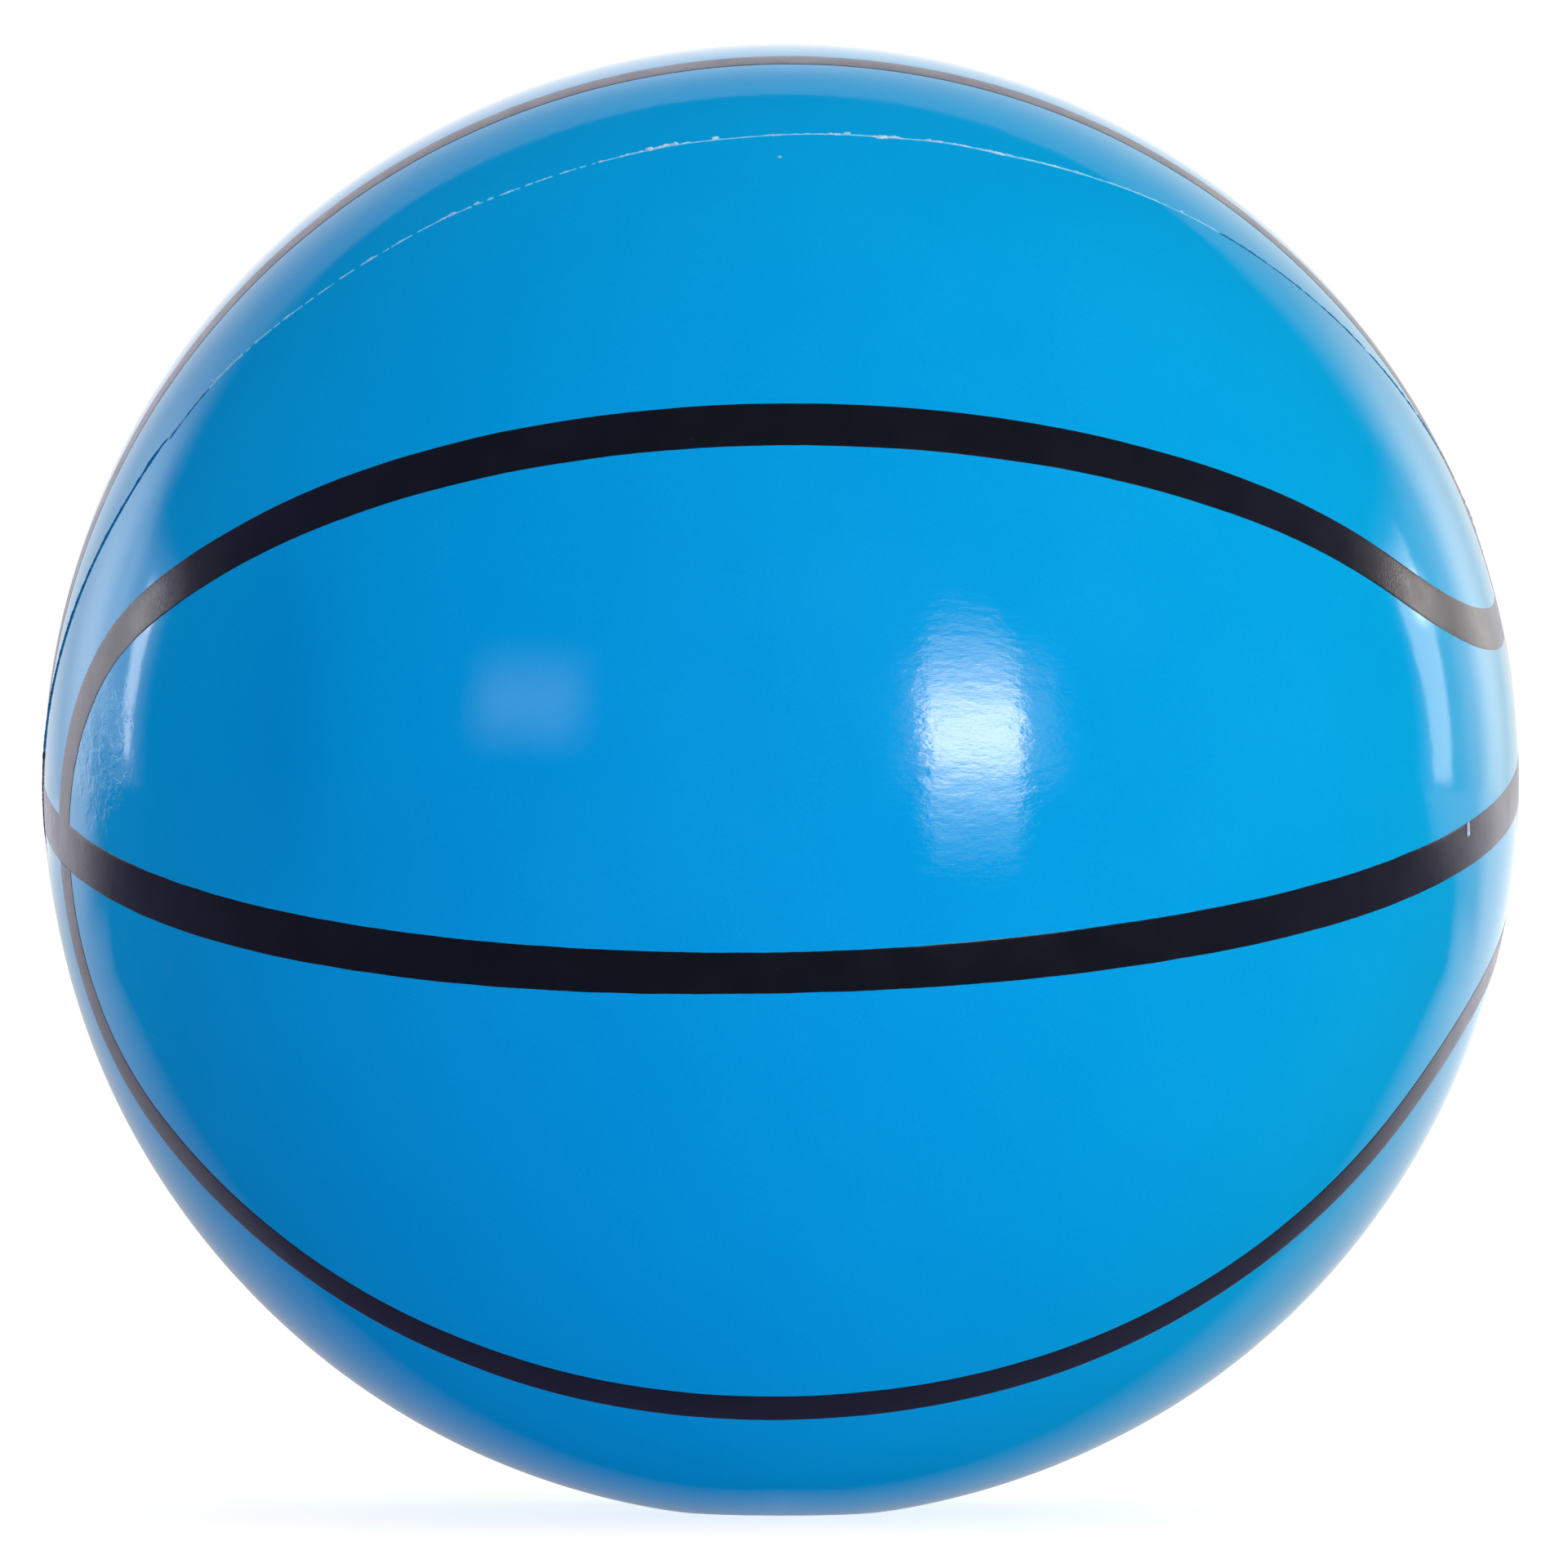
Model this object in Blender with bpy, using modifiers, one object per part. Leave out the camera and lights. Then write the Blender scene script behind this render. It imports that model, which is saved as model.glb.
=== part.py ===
"""Toy ball: a hollow moulded vinyl ball with printed panel bands and a pull-out valve plug.

The ball stands on the small flat that its own weight presses into it. The origin is the
middle of that flat, +Z is up and the front, where the two long curved bands show, is -Y.
"""
import math

import bmesh
import bpy
from mathutils import Matrix, Quaternion, Vector

# Sizes in metres, angles in degrees.

# Ball
BALL_DIAMETER = 0.2200
WALL = 0.0013
REST_FLAT_RADIUS = 0.0140

# Mould: its axis is the valve's axis, and its parting line is left as a fine raised line
VALVE_ELEVATION = 34.8
VALVE_AZIMUTH = 7.5
PARTING_OFFSET = 0.0078
FLASH_HEIGHT = 0.00012
FLASH_WIDTH = 0.00060

# Valve seat, moulded into the shell
RECESS_RADIUS = 0.0075
RECESS_DEPTH = 0.0024
RECESS_LIP_ROUND = 0.0008
RECESS_FLOOR_ROUND = 0.0004
NECK_LENGTH = 0.0120
NECK_WALL = 0.0024
NECK_END_ROUND = 0.0010

# Valve plug
HEAD_THICKNESS = 0.0014
HEAD_CROWN = 0.0005
HEAD_CLEARANCE = 0.0008
STEM_RADIUS = 0.0021
STEM_LENGTH = 0.0150
STEM_TAPER = 0.0004
RIB_HEIGHT = 0.0003
RIB_LENGTH = 0.0012
RIB_COUNT = 2
RIB_PITCH = 0.0030
STEM_CLEARANCE = 0.0003
SEAT_GAP = 0.0003

# Printed bands: one round the equator, one from pole to pole, and one closed wave
BAND_WIDTH = 0.0058
INK_THICKNESS = 0.00013
INK_GAP = 0.00010
PATTERN_TURN = 1.79
PATTERN_TILT = 14.40
PATTERN_ROLL = 1.17
WAVE_TURN = 2.32
WAVE_TILT = -0.29
WAVE_ARM_ANGLE = 43.75
WAVE_ARM_SHIFT = 1.72
WAVE_TIP_AT_EQUATOR = 15.70
WAVE_TIP_AT_MERIDIAN = 12.29

# Facets: the ink's rings are odd in number, so that the equator's band lies in one row
SIDES = 76
RINGS = 38
INNER_SIDES = 36
INNER_RINGS = 18
INK_SIDES = 66
INK_RINGS = 33
PLUG_SIDES = 24
WAVE_STEP = 6.0
ROUND_STEPS = 3
WELD = 0.00001

BALL_RADIUS = BALL_DIAMETER / 2
CENTRE = Vector((0, 0, math.sqrt(BALL_RADIUS ** 2 - REST_FLAT_RADIUS ** 2)))
INNER_FACET_DIP = math.cos(math.pi / INNER_SIDES) * math.cos(math.pi / 2 / INNER_RINGS)
INNER_RADIUS = (BALL_RADIUS - WALL) / math.sqrt(INNER_FACET_DIP)
FLOOR_HEIGHT = BALL_RADIUS - RECESS_DEPTH
CUP_RADIUS = RECESS_RADIUS + WALL
CUP_BOTTOM = FLOOR_HEIGHT - WALL
BORE_RADIUS = STEM_RADIUS + RIB_HEIGHT + STEM_CLEARANCE
NECK_RADIUS = BORE_RADIUS + NECK_WALL
NECK_END = CUP_BOTTOM - NECK_LENGTH
HEAD_RADIUS = RECESS_RADIUS - HEAD_CLEARANCE
INK_FACET_DIP = math.cos(math.pi / INK_SIDES) * math.cos(math.pi / 2 / INK_RINGS)
INK_RADIUS = (BALL_RADIUS + FLASH_HEIGHT + INK_GAP) / INK_FACET_DIP


def clear_scene():
    for thing in list(bpy.data.objects):
        bpy.data.objects.remove(thing, do_unlink=True)


def make_collection(name):
    group = bpy.data.collections.new(name)
    bpy.context.scene.collection.children.link(group)
    return group


def make_material(name, colour, roughness, sheen_coat=0.0):
    material = bpy.data.materials.new(name)
    material.use_nodes = True
    shader = material.node_tree.nodes["Principled BSDF"]
    shader.inputs["Base Color"].default_value = (*colour, 1)
    shader.inputs["Roughness"].default_value = roughness
    shader.inputs["Metallic"].default_value = 0.0
    shader.inputs["Coat Weight"].default_value = sheen_coat
    material.diffuse_color = (*colour, 1)
    return material


def add_object(name, mesh, group, matrix, material=None):
    item = bpy.data.objects.new(name, mesh)
    group.objects.link(item)
    item.matrix_world = matrix
    if material:
        mesh.materials.append(material)
    return item


def as_cutter(item):
    item.hide_render = True
    item.display_type = "WIRE"
    return item


def cut(item, tool, operation):
    boolean = item.modifiers.new(operation.title(), "BOOLEAN")
    boolean.operation = operation
    boolean.solver = "EXACT"
    boolean.object = tool
    return boolean


def turned(name, profile, sides, group, matrix, material=None):
    """A body of revolution about its own Z: profile is (radius, height), top to bottom."""
    mesh = bpy.data.meshes.new(name)
    points = [(radius, 0, height) for radius, height in profile]
    mesh.from_pydata(points, [(i, i + 1) for i in range(len(points) - 1)], [])
    item = add_object(name, mesh, group, matrix, material)
    screw = item.modifiers.new("Turn", "SCREW")
    screw.axis = "Z"
    screw.angle = math.tau
    screw.steps = sides
    screw.render_steps = sides
    screw.use_merge_vertices = True
    screw.merge_threshold = WELD
    screw.use_smooth_shade = True
    return item


def polar(radius, angle):
    """A profile point at an angle from the +Z pole."""
    return (radius * math.sin(angle), radius * math.cos(angle))


def arc(centre, radius, start, end, steps):
    """Points round a centre in the profile plane, angles counted from +radius to +Z."""
    turns = [start + (end - start) * i / steps for i in range(steps + 1)]
    return [(centre[0] + radius * math.cos(t), centre[1] + radius * math.sin(t)) for t in turns]


def ring_angles(first, rings, keep_clear=(0.0, 0.0)):
    """Evenly spaced angles from first to the far pole, none inside keep_clear."""
    step = math.pi / rings
    low, high = keep_clear
    angles = [i * step for i in range(rings + 1)]
    return [a for a in angles if a > first + step * 0.3 and not low < a < high]


def shell_profile():
    """Recess floor, recess wall, rounded lip, then the ball's outside with its parting flash."""
    lip_x = RECESS_RADIUS + RECESS_LIP_ROUND
    lip_z = math.sqrt((BALL_RADIUS - RECESS_LIP_ROUND) ** 2 - lip_x ** 2)
    lip_angle = math.atan2(lip_x, lip_z)
    corner = (RECESS_RADIUS - RECESS_FLOOR_ROUND, FLOOR_HEIGHT + RECESS_FLOOR_ROUND)
    points = [(0, FLOOR_HEIGHT)]
    points += arc(corner, RECESS_FLOOR_ROUND, -math.pi / 2, 0, 2)
    points += arc((lip_x, lip_z), RECESS_LIP_ROUND, math.pi, math.pi / 2 - lip_angle, ROUND_STEPS)

    line = math.acos(PARTING_OFFSET / BALL_RADIUS)
    half = FLASH_WIDTH / 2 / BALL_RADIUS
    crest = half / 3
    flash = [
        polar(BALL_RADIUS, line - half),
        polar(BALL_RADIUS + FLASH_HEIGHT, line - crest),
        polar(BALL_RADIUS + FLASH_HEIGHT, line + crest),
        polar(BALL_RADIUS, line + half),
    ]
    angles = ring_angles(lip_angle, RINGS, (line - 2 * half, line + 2 * half))
    points += [polar(BALL_RADIUS, a) for a in angles if a < line]
    points += flash
    points += [polar(BALL_RADIUS, a) for a in angles if line < a < math.pi - 0.001]
    return points + [(0, -BALL_RADIUS)]


def cavity_profile():
    """The air space: the bore, then the space round the neck and cup, then the inside wall."""
    mouth = FLOOR_HEIGHT + RECESS_DEPTH / 2
    rounding = min(NECK_END_ROUND, NECK_WALL / 2)
    corner = (NECK_RADIUS - rounding, NECK_END + rounding)
    points = [(0, mouth), (BORE_RADIUS, mouth), (BORE_RADIUS, NECK_END)]
    points += arc(corner, rounding, -math.pi / 2, 0, 3)
    points += [(NECK_RADIUS, CUP_BOTTOM), (CUP_RADIUS, CUP_BOTTOM)]
    start = math.asin(CUP_RADIUS / INNER_RADIUS)
    points.append(polar(INNER_RADIUS, start))
    points += [polar(INNER_RADIUS, a) for a in ring_angles(start, INNER_RINGS) if a < math.pi - 0.001]
    return points + [(0, -INNER_RADIUS)]


def plug_profile():
    """A crowned head over a tapered stem with rounded grip ribs; height 0 is its seat."""
    top = HEAD_THICKNESS + HEAD_CROWN
    crown_radius = (HEAD_RADIUS ** 2 + HEAD_CROWN ** 2) / (2 * HEAD_CROWN)
    edge = HEAD_THICKNESS / 2
    crown_edge = math.sqrt(crown_radius ** 2 - (HEAD_RADIUS - edge) ** 2) - crown_radius
    points = [(0, top)]
    for i in range(1, ROUND_STEPS + 1):
        x = (HEAD_RADIUS - edge) * i / ROUND_STEPS
        points.append((x, top + math.sqrt(crown_radius ** 2 - x ** 2) - crown_radius))
    middle = (top + crown_edge) / 2
    for i in range(1, 6):
        turn = math.pi / 2 - math.pi * i / 6
        points.append((HEAD_RADIUS - edge + edge * math.cos(turn), middle * (1 + math.sin(turn))))
    points.append((HEAD_RADIUS - edge, 0))

    def stem_radius(depth):
        return STEM_RADIUS - STEM_TAPER * depth / STEM_LENGTH

    points.append((stem_radius(0), 0))
    for rib in range(RIB_COUNT):
        start = STEM_LENGTH - RIB_PITCH * (RIB_COUNT - rib)
        for i in range(5):
            depth = start + RIB_LENGTH * i / 4
            bulge = RIB_HEIGHT * math.sin(math.pi * i / 4)
            points.append((stem_radius(depth) + bulge, -depth))
    tip = stem_radius(STEM_LENGTH)
    points += arc((0, -STEM_LENGTH + tip), tip, 0, -math.pi / 2, ROUND_STEPS)[:-1]
    return points + [(0, -STEM_LENGTH)]


def small_circle_arc(axis, start, end):
    """Unit vectors along the circle round axis from start to end, the short way."""
    axis = axis.normalized()
    flat_start = start - axis * start.dot(axis)
    flat_end = end - axis * end.dot(axis)
    angle = math.atan2(axis.dot(flat_start.cross(flat_end)), flat_start.dot(flat_end))
    steps = max(2, round(abs(math.degrees(angle)) / WAVE_STEP))
    return [Quaternion(axis, angle * i / steps) @ start for i in range(steps + 1)]


def wave_path():
    """The wave's middle line as unit vectors: four long arms joined by four round turns.

    Each arm and each turn is part of a circle on the ball. The turns at -X cross the
    equator, the turns at +X cross the meridian, and every turn is tangent to its arms.
    """
    arm = math.radians(WAVE_ARM_ANGLE)
    shift = math.radians(WAVE_ARM_SHIFT)
    tip_left = math.radians(WAVE_TIP_AT_EQUATOR)
    tip_right = math.radians(WAVE_TIP_AT_MERIDIAN)
    left = math.atan2(math.sin(tip_left - shift), math.cos(tip_left - shift) - math.sin(arm))
    right = math.atan2(math.sin(tip_right + shift), math.cos(tip_right + shift) - math.cos(arm))

    arm_axis = Vector((0, math.sin(arm), math.cos(arm)))
    left_axis = Vector((-math.cos(left), -math.sin(left), 0))
    right_axis = Vector((math.cos(right), 0, math.sin(right)))
    start = Vector((-math.cos(tip_left), -math.sin(tip_left), 0))
    end = Vector((math.cos(tip_right), 0, math.sin(tip_right)))

    def touch(turn_axis):
        flat = (turn_axis - arm_axis * arm_axis.dot(turn_axis)).normalized()
        return flat * math.cos(shift) - arm_axis * math.sin(shift)

    quarter = small_circle_arc(left_axis, start, touch(left_axis))
    quarter += small_circle_arc(arm_axis, touch(left_axis), touch(right_axis))[1:]
    quarter += small_circle_arc(right_axis, touch(right_axis), end)[1:]

    front_top = quarter
    back_top = [Vector((p.x, -p.y, p.z)) for p in reversed(quarter)]
    back_low = [Vector((p.x, -p.y, -p.z)) for p in quarter]
    front_low = [Vector((p.x, p.y, -p.z)) for p in reversed(quarter)]
    return front_top[:-1] + back_top[:-1] + back_low[:-1] + front_low[:-1]


def wave_wall(name, group, matrix, low, high):
    """A closed loft of a rectangle, BAND_WIDTH wide, that stands on the wave's path."""
    path = wave_path()
    count = len(path)
    shape = bmesh.new()
    sections = []
    for i, point in enumerate(path):
        along = (path[(i + 1) % count] - path[i - 1]).normalized()
        side = point.cross(along).normalized() * BAND_WIDTH / 2
        corners = (point * low - side, point * high - side, point * high + side, point * low + side)
        sections.append([shape.verts.new(corner) for corner in corners])
    for i, section in enumerate(sections):
        after = sections[(i + 1) % count]
        for k in range(4):
            n = (k + 1) % 4
            shape.faces.new((section[k], section[n], after[n], after[k]))
    bmesh.ops.recalc_face_normals(shape, faces=shape.faces)
    mesh = bpy.data.meshes.new(name)
    shape.to_mesh(mesh)
    shape.free()
    return add_object(name, mesh, group, matrix)


def disc(name, radius, group, matrix):
    """A flat disc, BAND_WIDTH thick, whose rim cuts one great-circle band."""
    shape = bmesh.new()
    bmesh.ops.create_cone(
        shape, cap_ends=True, segments=SIDES, radius1=radius, radius2=radius, depth=BAND_WIDTH
    )
    mesh = bpy.data.meshes.new(name)
    shape.to_mesh(mesh)
    shape.free()
    return add_object(name, mesh, group, matrix)


def block(name, low, high, group):
    shape = bmesh.new()
    bmesh.ops.create_cube(shape, size=1)
    size = high - low
    bmesh.ops.scale(shape, vec=size, verts=shape.verts)
    bmesh.ops.translate(shape, vec=(low + high) / 2, verts=shape.verts)
    mesh = bpy.data.meshes.new(name)
    shape.to_mesh(mesh)
    shape.free()
    return add_object(name, mesh, group, Matrix())


def main():
    clear_scene()
    parts = make_collection("toy_ball")
    tools = make_collection("cutters")
    vinyl = make_material("blue_vinyl", (0.0, 0.30, 0.70), 0.12, 0.5)
    plug_vinyl = make_material("plug_vinyl", (0.80, 0.82, 0.84), 0.35)
    ink = make_material("black_ink", (0.008, 0.009, 0.014), 0.30)

    centre = Matrix.Translation(CENTRE)
    mould = centre @ Matrix.Rotation(math.radians(VALVE_AZIMUTH), 4, "Z")
    mould = mould @ Matrix.Rotation(math.radians(VALVE_ELEVATION - 90), 4, "X")
    pattern = centre @ Matrix.Rotation(math.radians(-PATTERN_ROLL), 4, "Y")
    pattern = pattern @ Matrix.Rotation(math.radians(PATTERN_TILT), 4, "X")
    pattern = pattern @ Matrix.Rotation(math.radians(PATTERN_TURN), 4, "Z")
    wave = pattern @ Matrix.Rotation(math.radians(-WAVE_TURN), 4, "Z")
    wave = wave @ Matrix.Rotation(math.radians(WAVE_TILT), 4, "X")

    # Shell: the outside turned on the mould axis, pressed flat where it rests, then hollowed
    shell = turned("ball_shell", shell_profile(), SIDES, parts, mould, vinyl)
    reach = Vector((BALL_DIAMETER, BALL_DIAMETER, 0))
    deep = Vector((0, 0, BALL_RADIUS))
    press = as_cutter(block("rest_press", -reach - deep, reach, tools))
    cut(shell, press, "DIFFERENCE")

    cavity = as_cutter(turned("air_space", cavity_profile(), INNER_SIDES, tools, mould))
    lift = Vector((0, 0, WALL))
    inner_press = as_cutter(block("inner_rest_press", -reach - deep, reach + lift, tools))
    cut(cavity, inner_press, "DIFFERENCE")
    cut(shell, cavity, "DIFFERENCE")

    # Plug: its origin is on the valve axis, at its seat in the recess
    seat = mould @ Matrix.Translation((0, 0, FLOOR_HEIGHT + SEAT_GAP))
    turned("valve_plug", plug_profile(), PLUG_SIDES, parts, seat, plug_vinyl)

    # Ink: a thin skin over the ball, kept only where one of the three bands runs
    arcs = [i * math.pi / INK_RINGS for i in range(1, INK_RINGS)]
    skin = [(0, INK_RADIUS)] + [polar(INK_RADIUS, a) for a in arcs] + [(0, -INK_RADIUS)]
    half_step = Matrix.Rotation(math.pi / INK_SIDES, 4, "Z")
    bands = turned("printed_bands", skin, INK_SIDES, parts, pattern @ half_step, ink)
    thicken = bands.modifiers.new("Ink", "SOLIDIFY")
    thicken.thickness = INK_THICKNESS
    thicken.offset = 1
    thicken.use_even_offset = True

    quarter_turn = Matrix.Rotation(math.pi / 2, 4, "X")
    equator = as_cutter(disc("equator_disc", BALL_RADIUS * 1.10, tools, pattern))
    meridian = as_cutter(disc("meridian_disc", BALL_RADIUS * 1.08, tools, pattern @ quarter_turn))
    wall = as_cutter(wave_wall("wave_wall", tools, wave, BALL_RADIUS * 0.95, BALL_RADIUS * 1.05))
    cut(equator, meridian, "UNION")
    cut(equator, wall, "UNION")
    cut(bands, equator, "INTERSECT")

    bpy.context.view_layer.update()


main()
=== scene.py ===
"""Looks of the toy ball: glossy moulded vinyl, printed bands, parting flash and valve plug."""
import math

import bpy
import numpy as np
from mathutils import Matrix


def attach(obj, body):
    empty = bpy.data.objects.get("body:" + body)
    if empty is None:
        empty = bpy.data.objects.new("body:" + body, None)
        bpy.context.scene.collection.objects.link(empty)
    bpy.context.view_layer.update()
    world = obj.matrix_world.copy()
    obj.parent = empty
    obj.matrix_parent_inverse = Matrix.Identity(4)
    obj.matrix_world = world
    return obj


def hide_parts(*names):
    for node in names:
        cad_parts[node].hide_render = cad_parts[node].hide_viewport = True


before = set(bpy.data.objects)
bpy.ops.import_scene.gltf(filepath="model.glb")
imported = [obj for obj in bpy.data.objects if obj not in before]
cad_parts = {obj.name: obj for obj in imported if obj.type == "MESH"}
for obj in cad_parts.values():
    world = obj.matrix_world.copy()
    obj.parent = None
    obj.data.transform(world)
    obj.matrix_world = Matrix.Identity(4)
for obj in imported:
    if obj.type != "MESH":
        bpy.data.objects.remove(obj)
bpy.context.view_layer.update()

# Sizes of the ball, in metres
RADIUS = 0.1100
WALL = 0.0013
REST_FLAT = 0.0140  # radius of the flat that it stands on
CENTRE = np.array([0.0, 0.0, math.sqrt(RADIUS ** 2 - REST_FLAT ** 2)])
PARTING = 0.0078  # how far the mould's joint lies from the centre, towards the valve
RECESS = 0.0075
RECESS_DEPTH = 0.0024
FLOOR_HEIGHT = RADIUS - RECESS_DEPTH
BORE = 0.0027
NECK = 0.0051
NECK_LENGTH = 0.012
NECK_END = FLOOR_HEIGHT - WALL - NECK_LENGTH
SEAM_SWELL = 0.00008
SEAM_REACH = 0.0040
INK_RISE = 0.00004

DEGREES = 180 / math.pi

# Where the 1920 x 1920 picture shows the ball, in its pixels, and how many radii away the camera stands
PICTURE = 1920
BALL_X, BALL_Y, BALL_PIXELS = 956.5, 957.0, 903.0
CAMERA_AWAY = 24
OUTLINE_AWAY = math.sqrt(CAMERA_AWAY ** 2 - 1)
SENSOR = 36  # in mm

# Places on the front, in the same pixels
SCUFFS = (170, 1240)
SMALL_SCUFF = (505, 840)
FLECK = (1797, 1015)
CREASES = (118, 925)
FLOW_LINES = (1190, 900)


def turn(axis, degrees):
    """A 3x3 rotation about X, Y or Z."""
    a = math.radians(degrees)
    c, s = math.cos(a), math.sin(a)
    i, j = {"X": (1, 2), "Y": (2, 0), "Z": (0, 1)}[axis]
    m = np.eye(3)
    m[i, i] = m[j, j] = c
    m[i, j], m[j, i] = -s, s
    return m


# The mould's axis points at the valve; the pattern's equator and the wave lie slightly askew
MOULD = turn("Z", 7.5) @ turn("X", 34.8 - 90)
PATTERN = turn("Y", -1.17) @ turn("X", 14.40) @ turn("Z", 1.79)
WAVE = PATTERN @ turn("Z", -2.32) @ turn("X", -0.29)


def unit(v):
    return v / np.linalg.norm(v, axis=-1, keepdims=True)


def smooth(x, low, high):
    t = np.clip((x - low) / (high - low), 0, 1)
    return t * t * (3 - 2 * t)


class Ripple:
    """Smooth seeded noise of a point: a sum of waves, about -1 to 1."""

    def __init__(self, seed, wavelength, count=24):
        rng = np.random.default_rng(seed)
        self.k = unit(rng.normal(size=(count, 3))) * math.tau / wavelength
        self.k *= rng.uniform(0.6, 1.5, (count, 1))
        self.phase = rng.uniform(0, math.tau, count)
        self.scale = math.sqrt(2 / count) * 0.7

    def __call__(self, p):
        return np.sin(p @ self.k.T + self.phase).sum(-1) * self.scale


class Line:
    """Smooth seeded noise along a closed loop, from an angle in radians, about -1 to 1."""

    def __init__(self, seed, waves, count=30):
        rng = np.random.default_rng(seed)
        self.n = np.maximum(1, np.round(rng.uniform(0.3, 1.7, count) * waves))
        self.phase = rng.uniform(0, math.tau, count)
        self.scale = math.sqrt(2 / count) * 0.7

    def __call__(self, angle):
        return np.sin(np.multiply.outer(angle, self.n) + self.phase).sum(-1) * self.scale


broad = Ripple(11, 0.085)
medium = Ripple(12, 0.032)
little = Ripple(13, 0.013)

# How far the parting line strays towards the valve, in mm, against the angle round the mould
STRAY = [
    (-180, -0.3), (-165, -0.6), (-157, -0.7), (-150, -0.1), (-148.9, -0.4), (-143, 0.6), (-138, 0.4),
    (-133, -0.1), (-127, 0.0), (-121, 0.4), (-115, 0.1), (-108, 0.4), (-102, 0.6), (-97, 0.2),
    (-91, 0.05), (-86, -0.4), (-81, -0.2), (-76, -0.7), (-71, -0.3), (-66, 0.2), (-61, 0.5), (-50, 0.3),
    (-35, 0.0), (-10, 0.2), (20, -0.3), (55, 0.3), (90, 0.0), (130, 0.4), (160, -0.1)
]


def stray(angle):
    """The parting line's sideways stray in metres, at an angle in radians round the mould."""
    x, y = (np.array(v, float) for v in zip(*STRAY))
    return np.interp(np.degrees(angle), x, y, period=360) * 0.001


def seam_offset(u):
    """Distance along the skin from the parting line, positive towards the valve."""
    local = u @ MOULD
    away = RADIUS * (np.arcsin(np.clip(local[..., 2], -1, 1)) - math.asin(PARTING / RADIUS))
    return away - stray(np.arctan2(local[..., 1], local[..., 0]))


def skin_radius(u):
    """The skin's radius in a direction: a sphere, slightly wavy, swollen at the parting line."""
    p = u * RADIUS
    swell = SEAM_SWELL * np.exp(-np.abs(seam_offset(u)) / SEAM_REACH)
    return RADIUS + swell + 0.00008 * broad(p) + 0.000012 * medium(p) + 0.000002 * little(p)


def press(points, lowest=0.0, soft=0.0002):
    """Flattens what would pass below the floor, with a soft edge."""
    z = points[..., 2] - lowest
    near = z < 0.004
    flat = 0.5 * (z + np.sqrt(z * z + soft * soft))
    points[..., 2] = np.where(near, flat, z) + lowest
    return points


def on_skin(u, rise):
    """Points above the skin by rise, in the directions u from the centre, with the pressed flat."""
    return press(u * (skin_radius(u) + rise)[..., None] + CENTRE)


def add_piece(name, points, faces, materials, body, sharp=35.0, face_material=None):
    """A mesh object that rides on a body, with smooth faces and the edges past sharp degrees kept."""
    mesh = bpy.data.meshes.new(name)
    mesh.from_pydata([tuple(p) for p in np.asarray(points).reshape(-1, 3)], [], faces)
    mesh.validate()
    mesh.polygons.foreach_set("use_smooth", [True] * len(mesh.polygons))
    mesh.set_sharp_from_angle(angle=math.radians(sharp))
    for material in materials:
        mesh.materials.append(material)
    if face_material is not None:
        mesh.polygons.foreach_set("material_index", list(face_material))
    mesh.update()
    piece = bpy.data.objects.new(name, mesh)
    bpy.context.scene.collection.objects.link(piece)
    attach(piece, body)
    return piece


def tube_faces(size, steps, base):
    """Faces of a closed tube: size rows of steps points each, numbered from base, and its two caps."""
    faces = []
    for i in range(size):
        a, b = base + i * steps, base + ((i + 1) % size) * steps
        faces += [(a + j, a + j + 1, b + j + 1, b + j) for j in range(steps - 1)]
    faces.append(tuple(base + i * steps for i in range(size)))
    faces.append(tuple(base + i * steps + steps - 1 for i in reversed(range(size))))
    return faces


def turned_faces(rings, sides, closed=False):
    """Faces between rings of a turned solid, each a (first number, count) pair: a ring of one is a tip."""
    faces = []
    for (a, of_a), (b, of_b) in zip(rings, rings[1:] + (rings[:1] if closed else [])):
        if of_a == 1 and of_b == 1:
            continue
        for j in range(sides):
            n = (j + 1) % sides
            if of_a == 1:
                faces.append((a, b + j, b + n))
            elif of_b == 1:
                faces.append((a + j, b, a + n))
            else:
                faces.append((a + j, b + j, b + n, a + n))
    return faces


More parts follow.
